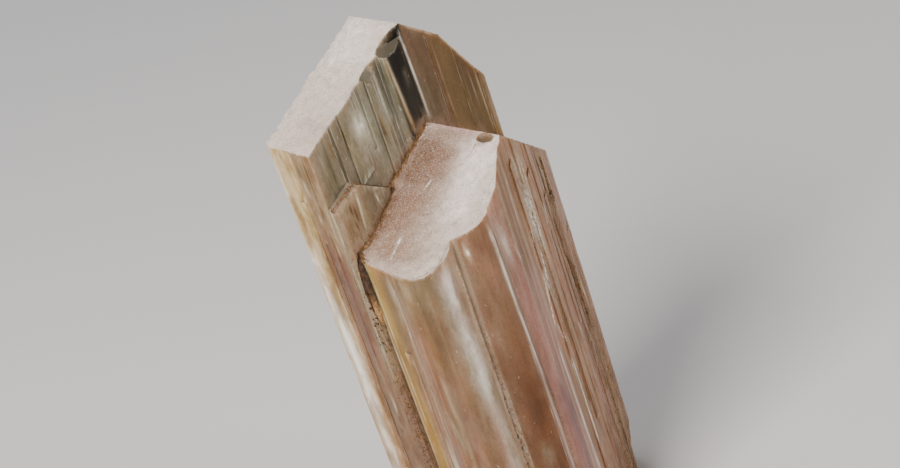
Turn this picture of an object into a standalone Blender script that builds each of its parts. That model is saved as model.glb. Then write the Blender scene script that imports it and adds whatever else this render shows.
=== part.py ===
"""A spodumene specimen: two flattened crystals grown side by side into one solid, on its broken base.

Metres, +Z up. Z runs along the crystals' length, X across their broad faces, and Y from front to back.
Heights are above the base. Plan points are in millimetres from the back crystal's left front corner, and at
the end an empty moves everything so that the specimen stands centred on the origin.
"""

import random

import bmesh
import bpy
from mathutils import Vector

MM = 0.001
SEED = 11

# End faces: a height in millimetres at a plan point, and the rise per unit of X and of Y.
BACK_ENDS = (
    ((0.0, 0.0, 57.0), (0.410, 0.040)),
    ((16.1, 0.0, 63.6), (-0.800, 0.020)),
    ((21.3, 0.9, 59.5), (-1.520, 0.000)),
)
FRONT_ENDS = (
    ((15.5, 0.0, 52.1), (0.490, 0.000)),
    ((15.5, 0.0, 52.1), (-0.840, 0.000)),
)
PLATE_ENDS = (
    ((3.3, 0.0, 52.0), (0.410, 0.000)),
    ((3.3, 0.0, 52.0), (-0.730, 0.000)),
)

# Plans, anticlockwise from above: x, y, depth of the striae on the stretch that follows, and their spacing.
PLAIN = (0.0, 99.0)
BACK_PLAN = (
    (0.0, 0.0, 0.11, 0.70),
    (16.3, 0.0, 0.06, 1.30),
    (26.6, 1.8, 0.12, 0.90),
    (25.7, 6.6, 0.25, 0.80),
    (15.2, 7.3, 0.28, 0.75),
    (4.0, 7.0, 0.20, 0.80),
    (0.4, 6.9, *PLAIN),
    (0.0, 6.3, 0.08, 1.00),
)
FRONT_PLAN = (
    (0.9, 2.5, *PLAIN),
    (0.9, -1.2, *PLAIN),
    (0.3, -2.2, 0.08, 0.90),
    (-0.1, -5.1, 0.08, 0.90),
    (-0.4, -8.2, *PLAIN),
    (-0.3, -9.9, *PLAIN),
    (0.1, -11.3, *PLAIN),
    (1.0, -12.1, *PLAIN),
    (2.3, -12.7, *PLAIN),
    (3.4, -12.6, *PLAIN),
    (4.3, -12.1, *PLAIN),
    (5.3, -13.6, *PLAIN),
    (6.4, -14.6, *PLAIN),
    (7.6, -14.8, *PLAIN),
    (8.1, -14.5, *PLAIN),
    (10.4, -14.0, 0.05, 1.10),
    (14.2, -11.5, *PLAIN),
    (14.9, -11.3, 0.16, 0.50),
    (26.5, -4.4, 0.12, 0.60),
    (25.6, -1.4, 0.12, 0.60),
    (26.1, 2.5, *PLAIN),
)
PLATE_PLAN = (
    (0.5, 1.5, *PLAIN),
    (-0.1, -0.5, *PLAIN),
    (0.3, -1.2, 0.08, 0.70),
    (3.3, -1.6, 0.08, 1.10),
    (7.4, -1.0, *PLAIN),
    (8.4, 0.0, *PLAIN),
    (8.4, 1.5, *PLAIN),
)

# Prism faces that carry laths and furrows, each as the plan points of its ends.
FACES = {
    "front": ((0.0, 0.0), (16.3, 0.0)),
    "smooth": ((16.3, 0.0), (26.6, 1.8)),
    "rear_right": ((25.7, 6.6), (15.2, 7.3)),
    "rear_left": ((15.2, 7.3), (0.4, 6.9)),
    "left": ((0.0, 6.3), (0.0, 0.0)),
    "flank": ((-0.1, -3.0), (-0.4, -9.6)),
    "band": ((8.1, -14.5), (14.2, -11.5)),
    "ribbed": ((14.9, -11.3), (26.5, -4.4)),
    "end": ((26.5, -4.4), (25.6, -1.4)),
}

# Laths and furrows: face, start and end along it, height or depth of the relief, top and bottom.
# FULL runs past the end faces, and a bottom of zero through the base.
FULL = 70.0
BACK_LATHS = (
    ("front", 5.0, 7.2, 0.14, 60.1, 50.5),
    ("front", 9.6, 10.6, 0.12, FULL, 49.0),
    ("front", 12.3, 15.4, 0.12, FULL, 48.0),
    ("smooth", 6.4, 7.1, 0.06, 57.0, 40.0),
    ("smooth", 9.4, 10.3, 0.10, FULL, 0.0),
    ("left", 1.5, 3.0, 0.10, 51.0, 0.0),
    ("left", 4.4, 5.0, 0.07, FULL, 22.0),
    ("rear_left", 1.5, 4.6, 0.45, 49.0, 0.0),
    ("rear_left", 6.4, 7.4, 0.30, FULL, 18.0),
    ("rear_left", 9.0, 12.4, 0.55, 40.5, 0.0),
    ("rear_right", 1.2, 3.4, 0.40, 44.0, 0.0),
    ("rear_right", 5.2, 6.3, 0.30, 57.0, 26.0),
)
BACK_FURROWS = (
    ("front", 3.3, 3.7, 0.14, FULL, 51.5),
    ("front", 8.1, 8.5, 0.14, FULL, 53.0),
    ("front", 11.3, 11.9, 0.16, FULL, 49.5),
    ("smooth", 3.0, 3.2, 0.06, 60.0, 46.0),
    ("left", 3.6, 4.0, 0.12, 46.0, 9.0),
    ("rear_left", 5.2, 5.8, 0.40, 52.0, 12.0),
    ("rear_left", 13.0, 13.6, 0.35, FULL, 31.0),
    ("rear_right", 4.2, 4.6, 0.35, 38.0, 6.0),
)
FRONT_LATHS = (
    ("flank", 1.4, 2.5, 0.08, 34.0, 0.0),
    ("flank", 4.3, 5.1, 0.08, FULL, 12.0),
    ("band", 0.3, 0.7, 0.10, FULL, 0.0),
    ("band", 4.6, 5.6, 0.08, 38.0, 0.0),
    ("ribbed", 0.5, 1.5, 0.15, 48.5, 0.0),
    ("ribbed", 2.7, 3.6, 0.18, FULL, 14.0),
    ("ribbed", 4.6, 6.0, 0.14, 44.6, 0.0),
    ("ribbed", 6.9, 7.5, 0.12, FULL, 24.0),
    ("ribbed", 8.0, 8.9, 0.12, 40.0, 0.0),
    ("ribbed", 10.2, 11.0, 0.16, 39.0, 0.0),
    ("ribbed", 12.3, 13.2, 0.10, 33.0, 3.0),
    ("end", 0.9, 2.0, 0.30, 36.0, 0.0),
)
FRONT_FURROWS = (
    ("flank", 3.2, 3.6, 0.12, 42.0, 5.0),
    ("ribbed", 2.0, 2.3, 0.18, 45.0, 17.0),
    ("ribbed", 6.3, 6.6, 0.14, 38.0, 4.0),
    ("ribbed", 9.3, 9.8, 0.60, FULL, 0.0),
    ("ribbed", 9.2, 9.9, 1.20, 40.8, 38.2),
)
# How far a lath reaches into its crystal, and the rise of its ends per unit of X.
BURIED = 1.0
END_RISE = 0.41

# Chips, pits and pockets: centre and half sizes of the lump broken out, in millimetres.
CHIPS = {
    "base_front": ((16.8, -13.6, -2.2), (5.2, 4.8, 5.4)),
    "base_rear_left": ((-2.0, 8.8, -1.0), (4.5, 4.5, 4.0)),
    "base_rear_right": ((28.6, 7.7, -1.0), (4.5, 4.5, 5.0)),
    "base_left": ((-2.6, -9.5, -1.5), (4.2, 4.2, 4.0)),
    "base_swell": ((8.0, -17.2, -1.0), (4.0, 3.6, 3.5)),
    "base_right": ((28.2, -6.2, -4.0), (4.4, 4.4, 13.0)),
    "right_edge": ((26.9, -4.7, 10.4), (0.7, 0.7, 1.5)),
    "top_edge_right": ((13.6, -0.9, 63.7), (3.0, 1.7, 3.0)),
    "top_edge_middle": ((10.2, -0.9, 61.8), (2.6, 1.4, 2.4)),
    "ridge_pit": ((14.9, -9.2, 52.0), (0.65, 1.25, 0.7)),
    "seam_pocket": ((0.65, -1.65, 40.5), (0.95, 0.95, 5.2)),
}
CHIP_ROUGHNESS = 0.05

# The clay packed in the seam: centre and half sizes in millimetres, and the unevenness of its surface.
CLAY_CENTRE = (0.55, -1.60, 40.4)
CLAY_SIZE = (0.55, 0.55, 4.4)
CLAY_ROUGHNESS = 0.10

# Finishes: colour, roughness and how much of the light passes through.
CRYSTAL_COLOUR = (0.62, 0.50, 0.40, 1.0)
CRYSTAL_ROUGHNESS = 0.12
CRYSTAL_CLEARNESS = 0.8
CLAY_COLOUR = (0.16, 0.08, 0.03, 1.0)
CLAY_MATNESS = 0.9

# The side of a block that is larger than the specimen.
CUTTER_SIZE = 0.1

rng = random.Random(SEED)


def clear_scene():
    """Remove every object of the scene."""
    for obj in list(bpy.data.objects):
        bpy.data.objects.remove(obj, do_unlink=True)


def new_collection(name):
    """A new collection under the scene's own."""
    collection = bpy.data.collections.new(name)
    bpy.context.scene.collection.children.link(collection)
    return collection


def link_mesh(bm, name, collection, parent):
    """Turn a bmesh into an object of this collection, with its faces facing out."""
    bmesh.ops.recalc_face_normals(bm, faces=bm.faces)
    if bm.calc_volume(signed=True) < 0.0:
        bmesh.ops.reverse_faces(bm, faces=bm.faces)
    mesh = bpy.data.meshes.new(name)
    bm.to_mesh(mesh)
    bm.free()
    obj = bpy.data.objects.new(name, mesh)
    obj.parent = parent
    collection.objects.link(obj)
    return obj


def as_helper(obj):
    """Keep a cutter or a joined solid out of the finished part."""
    obj.hide_render = True
    obj.display_type = "WIRE"
    return obj


def striate(plan):
    """Break each stretch of a plan into seeded steps and furrows, like the striae of a prism face."""
    points = []
    for here, after in zip(plan, plan[1:] + plan[:1]):
        start, end = Vector(here[:2]), Vector(after[:2])
        relief, spacing = here[2:]
        along = end - start
        outward = Vector((along.y, -along.x)).normalized()
        points.append(start)
        steps = int(along.length / spacing)
        for step in range(1, steps):
            reach = (step + rng.uniform(-0.3, 0.3)) / steps
            width = rng.uniform(0.03, 0.16) / steps
            depth = relief * rng.uniform(-1.0, 0.35)
            points.append(start + along * (reach - width) + outward * relief * rng.uniform(-0.2, -0.02))
            points.append(start + along * (reach + width) + outward * depth)
    return points


def add_prism(name, plan, bottom, top, collection, parent):
    """A closed prism over a plan, from a filled 2D curve."""
    curve = bpy.data.curves.new(name, "CURVE")
    curve.dimensions = "2D"
    curve.fill_mode = "BOTH"
    curve.extrude = (top - bottom) / 2 * MM
    spline = curve.splines.new("POLY")
    spline.points.add(len(plan) - 1)
    for point, place in zip(spline.points, plan):
        point.co = (place[0] * MM, place[1] * MM, 0.0, 1.0)
    spline.use_cyclic_u = True
    outline = bpy.data.objects.new(name + "_outline", curve)
    collection.objects.link(outline)
    bpy.context.view_layer.update()
    graph = bpy.context.evaluated_depsgraph_get()
    mesh = bpy.data.meshes.new_from_object(outline.evaluated_get(graph))
    bpy.data.objects.remove(outline, do_unlink=True)
    bm = bmesh.new()
    bm.from_mesh(mesh)
    bpy.data.meshes.remove(mesh)
    bmesh.ops.remove_doubles(bm, verts=bm.verts, dist=0.000001)
    bmesh.ops.translate(bm, verts=bm.verts, vec=(0.0, 0.0, (top + bottom) / 2 * MM))
    return link_mesh(bm, name, collection, parent)


def add_end_cutter(name, point, rise, collection, parent):
    """A block whose sloping underside passes through a point, with this rise per unit of X and of Y."""
    bm = bmesh.new()
    bmesh.ops.create_cube(bm, size=CUTTER_SIZE)
    for vert in bm.verts:
        slope = vert.co.x * rise[0] + vert.co.y * rise[1]
        vert.co += Vector(point) * MM + Vector((0.0, 0.0, slope + CUTTER_SIZE / 2))
    return as_helper(link_mesh(bm, name, collection, parent))


def add_strip(name, face, span, depths, heights, collection, parent):
    """A bar along Z on a prism face, from inside it to outside it, its ends parallel to the etched faces."""
    first, last = (Vector(corner) for corner in FACES[face])
    along = (last - first).normalized()
    outward = Vector((along.y, -along.x))
    bm = bmesh.new()
    bmesh.ops.create_cube(bm, size=2.0)
    for vert in bm.verts:
        place = first + along * span[vert.co.x > 0] + outward * depths[vert.co.y > 0]
        height = heights[vert.co.z > 0] + END_RISE * (place.x - first.x - along.x * span[0])
        vert.co = Vector((place.x, place.y, height)) * MM
    return as_helper(link_mesh(bm, name, collection, parent))


def add_lump(name, centre, half_sizes, roughness, collection, parent):
    """A stretched ball with a seeded rough surface."""
    bm = bmesh.new()
    bmesh.ops.create_icosphere(bm, subdivisions=2, radius=1.0)
    for vert in bm.verts:
        swell = 1.0 + rng.uniform(-roughness, roughness)
        vert.co = Vector([c + s * v * swell for c, s, v in zip(centre, half_sizes, vert.co)]) * MM
    return link_mesh(bm, name, collection, parent)


def combine(obj, other, operation):
    """Cut another solid from an object, or join it on."""
    modifier = obj.modifiers.new(other.name, "BOOLEAN")
    modifier.operation = operation
    modifier.solver = "EXACT"
    modifier.object = other


def add_crystal(name, plan, ends, laths, furrows, collection, helpers, parent):
    """One crystal: a striated prism with its laths and furrows, cut off by its end faces."""
    crystal = add_prism(name, striate(plan), -BURIED, FULL, collection, parent)
    for kind, rows in (("lath", laths), ("furrow", furrows)):
        for index, (face, start, end, relief, top, bottom) in enumerate(rows):
            low = bottom if bottom else -2 * BURIED
            depths = (-BURIED, relief) if kind == "lath" else (-relief, BURIED)
            label = f"{name}_{kind}_{index}"
            strip = add_strip(label, face, (start, end), depths, (low, top), helpers, parent)
            combine(crystal, strip, "UNION" if kind == "lath" else "DIFFERENCE")
    for index, (point, rise) in enumerate(ends):
        cutter = add_end_cutter(f"{name}_end_{index}", point, rise, helpers, parent)
        combine(crystal, cutter, "DIFFERENCE")
    return crystal


def add_material(obj, name, colour, roughness, transmission):
    """Give an object a material of its own."""
    material = bpy.data.materials.new(name)
    material.use_nodes = True
    shader = material.node_tree.nodes["Principled BSDF"]
    shader.inputs["Base Color"].default_value = colour
    shader.inputs["Roughness"].default_value = roughness
    shader.inputs["Metallic"].default_value = 0.0
    shader.inputs["Transmission Weight"].default_value = transmission
    obj.data.materials.append(material)


def add_base_cutter(helpers, parent):
    """A block that cuts everything off flat at the base."""
    bm = bmesh.new()
    bmesh.ops.create_cube(bm, size=CUTTER_SIZE)
    bmesh.ops.translate(bm, verts=bm.verts, vec=(0.0, 0.0, -CUTTER_SIZE / 2))
    return as_helper(link_mesh(bm, "base_cutter", helpers, parent))


def centre_on_origin(obj, parent):
    """Move the parent so that the object's box stands centred on the origin."""
    bpy.context.view_layer.update()
    graph = bpy.context.evaluated_depsgraph_get()
    corners = [Vector(corner) for corner in obj.evaluated_get(graph).bound_box]
    parent.location.x = -(min(c.x for c in corners) + max(c.x for c in corners)) / 2
    parent.location.y = -(min(c.y for c in corners) + max(c.y for c in corners)) / 2


def build():
    """Make the specimen."""
    clear_scene()
    parts = new_collection("spodumene_specimen")
    helpers = new_collection("cutters")
    root = bpy.data.objects.new("specimen_root", None)
    parts.objects.link(root)

    back = add_crystal(
        "spodumene_crystal", BACK_PLAN, BACK_ENDS, BACK_LATHS, BACK_FURROWS, parts, helpers, root
    )
    plate = add_crystal("side_plate", PLATE_PLAN, PLATE_ENDS, (), (), helpers, helpers, root)
    front = add_crystal(
        "front_crystal", FRONT_PLAN, FRONT_ENDS, FRONT_LATHS, FRONT_FURROWS, helpers, helpers, root
    )
    combine(back, as_helper(plate), "UNION")
    combine(back, as_helper(front), "UNION")
    combine(back, add_base_cutter(helpers, root), "DIFFERENCE")
    for name, (centre, half_sizes) in CHIPS.items():
        chip = add_lump(name, centre, half_sizes, CHIP_ROUGHNESS, helpers, root)
        combine(back, as_helper(chip), "DIFFERENCE")
    add_material(back, "spodumene", CRYSTAL_COLOUR, CRYSTAL_ROUGHNESS, CRYSTAL_CLEARNESS)

    clay = add_lump("seam_clay", CLAY_CENTRE, CLAY_SIZE, CLAY_ROUGHNESS, parts, root)
    add_material(clay, "clay", CLAY_COLOUR, CLAY_MATNESS, 0.0)
    centre_on_origin(back, root)


build()
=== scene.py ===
"""Looks of the spodumene specimen: striated clear prism faces, frosted end faces and clay in the seams."""

import math
import random

import bmesh
import bpy
import numpy as np
from mathutils import Matrix, Vector, bvhtree, kdtree, noise


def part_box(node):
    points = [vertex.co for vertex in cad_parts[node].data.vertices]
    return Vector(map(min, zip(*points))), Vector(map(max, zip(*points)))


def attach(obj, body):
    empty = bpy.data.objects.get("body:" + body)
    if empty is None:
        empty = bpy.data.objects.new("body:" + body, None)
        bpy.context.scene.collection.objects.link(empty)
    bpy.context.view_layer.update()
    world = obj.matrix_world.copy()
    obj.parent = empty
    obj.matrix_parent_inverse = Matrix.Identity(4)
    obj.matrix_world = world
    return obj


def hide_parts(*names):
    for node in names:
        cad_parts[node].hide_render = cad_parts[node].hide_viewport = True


MM = 0.001

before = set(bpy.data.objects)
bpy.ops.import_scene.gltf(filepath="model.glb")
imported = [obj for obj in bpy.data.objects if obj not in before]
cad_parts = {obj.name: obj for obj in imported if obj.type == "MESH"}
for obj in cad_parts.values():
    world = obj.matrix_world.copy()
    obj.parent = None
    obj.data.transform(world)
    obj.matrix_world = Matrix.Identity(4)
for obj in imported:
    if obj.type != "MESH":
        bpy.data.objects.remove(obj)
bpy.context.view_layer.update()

# The plan's zero point: the back crystal's left front corner, from the low corner of the specimen's box.
CRYSTAL_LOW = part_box("spodumene_crystal")[0]
CORNER = CRYSTAL_LOW + Vector((0.411, 14.800, 0.0)) * MM
SHOULDER_HEIGHT = 57.0

# The camera sees the specimen from the left and above, rolled so that the crystals lean.
FRAME_WIDTH = 900
FRAME_HEIGHT = 468
VIEW_AZIMUTH = math.radians(37.0)
VIEW_ELEVATION = math.radians(28.0)
VIEW_ROLL = math.radians(19.0)
FOCAL_PIXELS = 1914.0
SHOULDER_PIXEL = (308.0, 157.0)
SHOULDER_DISTANCE = 191.4 * MM

# The front crystal's end faces: height and X of their ridge in millimetres, and their rise along X.
FRONT_RIDGE = (52.1, 15.5)
FRONT_TOP_RISE = 0.49
FRONT_ROOF_RISE = -0.84


def on_front_top(*plan_points):
    """The points of the front crystal's end faces above plan points."""
    height, ridge_x = FRONT_RIDGE
    path = []
    for x, y in plan_points:
        rise = FRONT_TOP_RISE if x < ridge_x else FRONT_ROOF_RISE
        path.append((x, y, height + rise * (x - ridge_x)))
    return path


# Seams and edges where clay and stain gather: points of the plan, in millimetres, with their heights.
CONTACT = on_front_top(
    (0.3, -2.3), (0.9, -1.5), (3.0, -1.7), (5.5, -1.4), (7.6, -0.9), (8.6, -0.1), (11.5, -0.1), (15.5, 0.0)
)
ROOF_CONTACT = on_front_top((15.5, 0.1), (26.4, 1.8))
LEFT_SEAM = [(0.9, -1.2, 45.0), (0.5, -0.9, 40.0), (0.2, -0.9, 33.0), (0.2, -0.9, 0.5)]
RIGHT_GROOVE = [(23.2, -6.3, 43.4), (23.2, -6.3, 2.0)]
UPPER_SLOT = [(24.2, -5.9, 43.4), (24.1, -5.9, 40.6), (24.0, -5.9, 38.4)]
LOWER_SLOT = [(22.5, -7.0, 36.8), (22.6, -6.9, 32.2), (23.4, -6.2, 30.6), (23.5, -6.2, 26.5)]
SLOT_FOOT = [(23.6, -6.2, 30.0), (24.2, -5.9, 22.0), (25.0, -5.3, 13.0)]
RIM = on_front_top(
    (0.0, -4.2), (-0.3, -7.0), (-0.4, -9.2), (0.3, -11.2), (1.6, -12.4), (4.2, -12.2), (4.9, -13.2)
)
LEDGE = [(0.1, -0.7, 50.6), (3.3, -0.9, 52.0), (8.2, -0.4, 48.4)]


def place(point):
    """A plan point with its height, in millimetres, as a place in the specimen's frame."""
    return CORNER + Vector(point) * MM


def along(path, step):
    """Places every step millimetres along a path."""
    places = []
    for start, end in zip(path, path[1:]):
        a, b = Vector(start), Vector(end)
        count = max(1, round((b - a).length / step))
        places += [place(a.lerp(b, index / count)) for index in range(count)]
    return places + [place(path[-1])]


def mesh_of(bm, name):
    """A finished bmesh as a mesh."""
    mesh = bpy.data.meshes.new(name)
    bm.to_mesh(mesh)
    bm.free()
    return mesh


def add_object(name, data):
    """Put a mesh, a light or a camera into the scene."""
    thing = bpy.data.objects.new(name, data)
    bpy.context.scene.collection.objects.link(thing)
    return thing


# ---------------------------------------------------------------- the crystal's surface

# The cuts that give the solid its vertices. The first even slice stays clear of the solid's own edges.
SLICE_ACROSS = 0.18 * MM
SLICE_LENGTH = 2.2 * MM
FIRST_SLICE = 0.63
RIM_WIDTH = 0.30 * MM
CUT_MARGIN = 0.5 * MM

# A stroke counts as narrow below this half width, in millimetres, and has faded out at so many half widths.
NARROW_STROKE = 0.20
STROKE_SIDE = 1.4
# A stroke fades over this length at its ends, down to this share, and runs over steps up to this depth.
STROKE_FADE = 1.2
END_STRENGTH = 0.25
FACE_REACH = 0.9
# Longest step between the places of a seam that a stain is measured from, in millimetres.
LONGEST_STEP = 0.4

# Heights of the relief, and how fine its patterns are per millimetre, across and along the crystals.
STRIA_RELIEF = 0.028 * MM
SWELL_RELIEF = 0.05 * MM
ETCH_RELIEF = 0.06 * MM
EDGE_WEAR = 0.14 * MM
STRIA_STRETCH = 0.012
BROAD_STRIAE = 0.9
FINE_STRIAE = 2.3
FINE_SHARE = 0.6
SWELL_ACROSS, SWELL_ALONG = 0.22, 0.05
ETCH_FINENESS = 0.9
WEAR_FINENESS = 1.3
# A fractal's loss of strength from octave to octave, gain in fineness, and octaves.
ETCH_FRACTAL = (0.8, 2.1, 3)
LUMP_FRACTAL = (0.6, 2.1, 4)
# The relief stops at this height, so that the specimen stands flat.
FLAT_BASE = 0.02 * MM

# A face belongs to an end face when it lies this close to its plane, in millimetres, and looks its way.
END_FACE_DEPTH = 0.30
END_FACE_MATCH = 0.985
# How far a face tilts up or down, as the Z of its normal: where etching sets in and over what range it
# grows, from where a face counts as a break, and up to where as upright.
ETCHED_FROM, ETCHED_OVER = 0.15, 0.4
SMALLEST_BREAK = 0.25
UPRIGHT_FACE = 0.5
# Angles between two faces: from where an edge is shaded sharp, worn down, and painted pale as wear and as an
# edge highlight.
SHADED_SHARP = math.radians(24.0)
SHARP_EDGE = math.radians(32.0)
RIDGE_EDGE = math.radians(40.0)
# How wide a furrow may be, on the ribbed side and as a share of that elsewhere, and where the sides begin.
FURROW_REACH = 0.9 * MM
PLAIN_SIDE_SHARE = 0.45
FURROW_START = 0.04 * MM
FURROWED_FROM = -2.5
RIBBED_FROM = (11.0, -3.5)


def slice_along(bm, axis, step):
    """Cut a mesh with evenly spaced planes across one axis, to give it vertices for fine relief."""
    places = [vert.co[axis] for vert in bm.verts]
    low, high = min(places), max(places)
    normal = Vector([float(index == axis) for index in range(3)])
    for index in range(int((high - low) / step)):
        slice_at(bm, normal * (low + (index + FIRST_SLICE) * step), normal)


def slice_at(bm, spot, way):
    """Cut a mesh with a plane through a place, square to a way."""
    geometry = bm.verts[:] + bm.edges[:] + bm.faces[:]
    bmesh.ops.bisect_plane(bm, geom=geometry, plane_co=spot, plane_no=way, dist=1e-7)


def slice_beside_strokes(bm):
    """Cut lines of vertices along the narrow strokes, which would otherwise fall between the even slices."""
    rows = [(start, end, width) for _, start, end, width, _ in STROKES if width < NARROW_STROKE]
    rows += [(start, end, width) for start, end, width, _ in BEADED_GLINTS if width < NARROW_STROKE]
    flat = [(start, end, width) for start, end, width, _ in CRACKS + SCRATCHED]
    for start, end, width in rows + flat:
        a, b = place(start), place(end)
        run = (b - a).normalized()
        if (start, end, width) in flat:
            across = run.cross(Vector((0.0, 0.0, 1.0))).normalized()
        else:
            across = zone_way(start).cross(run).normalized()
        margin = Vector((CUT_MARGIN, CUT_MARGIN, CUT_MARGIN))
        low = Vector([min(pair) for pair in zip(a, b)]) - margin
        high = Vector([max(pair) for pair in zip(a, b)]) + margin
        fade = run * min(STROKE_FADE * MM, (b - a).length / 3.0)
        cuts = [(a + across * offset * width * MM, across) for offset in (-STROKE_SIDE, 0.0, STROKE_SIDE)]
        cuts += [(a, run), (a + fade, run), (b - fade, run), (b, run)]
        for spot, way in cuts:
            near = [face for face in bm.faces if crosses(face, low, high)]
            edges = dict.fromkeys(edge for face in near for edge in face.edges)
            verts = dict.fromkeys(vert for face in near for vert in face.verts)
            bmesh.ops.bisect_plane(bm, geom=[*verts, *edges, *near], plane_co=spot, plane_no=way, dist=1e-6)


def crosses(face, low, high):
    """Whether a face's box meets the box between two places."""
    for axis in range(3):
        places = [vert.co[axis] for vert in face.verts]
        if max(places) < low[axis] or min(places) > high[axis]:
            return False
    return True


def zone_way(point):
    """The way out of the prism face nearest to a plan point."""
    best, way = math.inf, None
    for (start, end), *_ in ZONES:
        a, b = Vector(start), Vector(end)
        run = b - a
        spot = Vector(point[:2])
        share = min(1.0, max(0.0, (spot - a).dot(run) / run.dot(run)))
        distance = (spot - a - run * share).length
        if distance < best:
            best, way = distance, Vector((run.y, -run.x, 0.0)).normalized()
    return way


def slice_below_ends(bm):
    """Cut a mesh just below each end face, to keep what an edge carries from spreading down the sides."""
    for height, rise_x, rise_y, _, _ in END_FACES:
        upright = Vector((-rise_x, -rise_y, 1.0)).normalized()
        slice_at(bm, place((0.0, 0.0, height)) - upright * RIM_WIDTH, upright)


def fine_relief(vert, worn):
    """How far a vertex of the crystal moves along its normal. An added vector takes a pattern elsewhere."""
    at = vert.co / MM
    lengthwise = Vector((at.x, at.y, at.z * STRIA_STRETCH))
    slow = Vector((at.x * SWELL_ACROSS, at.y * SWELL_ACROSS, at.z * SWELL_ALONG))
    terraces = noise.cell(lengthwise * BROAD_STRIAE)
    terraces += FINE_SHARE * noise.cell(lengthwise * FINE_STRIAE + Vector((3, 8, 5)))
    striae = terraces * STRIA_RELIEF + noise.noise(slow + Vector((7, 3, 1))) * SWELL_RELIEF
    etched = noise.fractal(at * ETCH_FINENESS, *ETCH_FRACTAL) * ETCH_RELIEF
    share = min(1.0, max(0.0, (abs(vert.normal.z) - ETCHED_FROM) / ETCHED_OVER))
    move = striae * (1.0 - share) + etched * share
    if worn:
        move -= EDGE_WEAR * max(0.0, noise.noise(at * WEAR_FINENESS + Vector((5, 9, 2))) + 0.05)
    return move


# End faces: height at the plan's zero point, rise along X and Y, and the X range each covers.
END_FACES = (
    (57.0, 0.41, 0.04, -1.0, 16.2),
    (76.48, -0.80, 0.02, 16.0, 21.4),
    (91.88, -1.52, 0.0, 21.2, 27.0),
    (FRONT_RIDGE[0] - FRONT_TOP_RISE * FRONT_RIDGE[1], FRONT_TOP_RISE, 0.0, -1.0, 15.6),
    (FRONT_RIDGE[0] - FRONT_ROOF_RISE * FRONT_RIDGE[1], FRONT_ROOF_RISE, 0.0, 15.4, 27.0),
)


def is_end_face(face):
    """Whether a face of the solid belongs to one of the etched end faces, not to a chip or a prism face."""
    x, y, z = (face.calc_center_median() - CORNER) / MM
    for height, rise_x, rise_y, low_x, high_x in END_FACES:
        upright = Vector((-rise_x, -rise_y, 1.0)).normalized()
        depth = abs(z - height - rise_x * x - rise_y * y)
        on_plane = depth < END_FACE_DEPTH and face.normal.dot(upright) > END_FACE_MATCH
        if on_plane and low_x <= x <= high_x:
            return True
    return False


def mark_ridges(bm):
    """Store 1 on the vertices of outward edges, which are painted pale: partly wear, partly a painted edge
    highlight.
    """
    ridge = bm.verts.layers.float.new("ridge")
    for edge in bm.edges:
        if edge.calc_face_angle_signed(0.0) > RIDGE_EDGE:
            for vert in edge.verts:
                vert[ridge] = 1.0


def mark_furrows(bm):
    """Store 1 on the vertices between the two sides of a furrow, and a half beside a step."""
    furrow = bm.verts.layers.float.new("furrow")
    tree = bvhtree.BVHTree.FromBMesh(bm)
    for vert in bm.verts:
        x, y, _ = (vert.co - CORNER) / MM
        if abs(vert.normal.z) > UPRIGHT_FACE or y > FURROWED_FROM:
            continue
        ribbed = x > RIBBED_FROM[0] and y < RIBBED_FROM[1]
        reach = FURROW_REACH * (1.0 if ribbed else PLAIN_SIDE_SHARE)
        along_face = vert.normal.cross(Vector((0.0, 0.0, 1.0))).normalized()
        start = vert.co + vert.normal * FURROW_START
        ways = (along_face, -along_face)
        vert[furrow] = sum(0.5 for way in ways if tree.ray_cast(start, way, reach)[0])


def crystal_mesh():
    """The specimen's solid with its flat faces cut fine, and striae, etching and worn edges worked in."""
    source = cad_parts["spodumene_crystal"]
    bm = bmesh.new()
    bm.from_mesh(source.data)
    bmesh.ops.remove_doubles(bm, verts=bm.verts, dist=1e-6)
    bmesh.ops.dissolve_limit(bm, angle_limit=0.01, verts=bm.verts, edges=bm.edges)
    slice_beside_strokes(bm)
    slice_along(bm, 0, SLICE_ACROSS)
    slice_along(bm, 1, SLICE_ACROSS)
    slice_along(bm, 2, SLICE_LENGTH)
    slice_below_ends(bm)
    bmesh.ops.triangulate(bm, faces=[face for face in bm.faces if len(face.verts) > 4])
    bm.normal_update()
    frost = bm.faces.layers.float.new("frost")
    broken = bm.faces.layers.float.new("broken")
    for face in bm.faces:
        face[frost] = float(is_end_face(face))
        face[broken] = float(abs(face.normal.z) > SMALLEST_BREAK and not face[frost])
    bm.edges.index_update()
    mark_ridges(bm)
    mark_furrows(bm)
    sharp = {edge.index: edge.calc_face_angle(0.0) > SHARP_EDGE for edge in bm.edges}
    base = CRYSTAL_LOW.z + FLAT_BASE
    moves = []
    for vert in bm.verts:
        if vert.co.z < base:
            moves.append(0.0)
            continue
        worn = any(sharp[edge.index] for edge in vert.link_edges)
        moves.append(fine_relief(vert, worn))
    normals = [vert.normal.copy() for vert in bm.verts]
    for vert, normal, move in zip(bm.verts, normals, moves):
        vert.co += normal * move
    return mesh_of(bm, "crystal")


def add_attribute(mesh, name, values, domain="POINT"):
    """Store a float attribute that the crystal's material reads."""
    stored = mesh.attributes.new(name, "FLOAT", domain)
    stored.data.foreach_set("value", np.asarray(values, np.float32))


def closeness(mesh, path, reach):
    """1 at a seam, falling off over its reach in millimetres."""
    samples = along(path, min(LONGEST_STEP, reach / 2.0))
    tree = kdtree.KDTree(len(samples))
    for index, sample in enumerate(samples):
        tree.insert(sample, index)
    tree.balance()
    distances = np.array([tree.find(vert.co)[2] for vert in mesh.vertices]) / MM
    return np.exp(-((distances / reach) ** 2))


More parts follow.
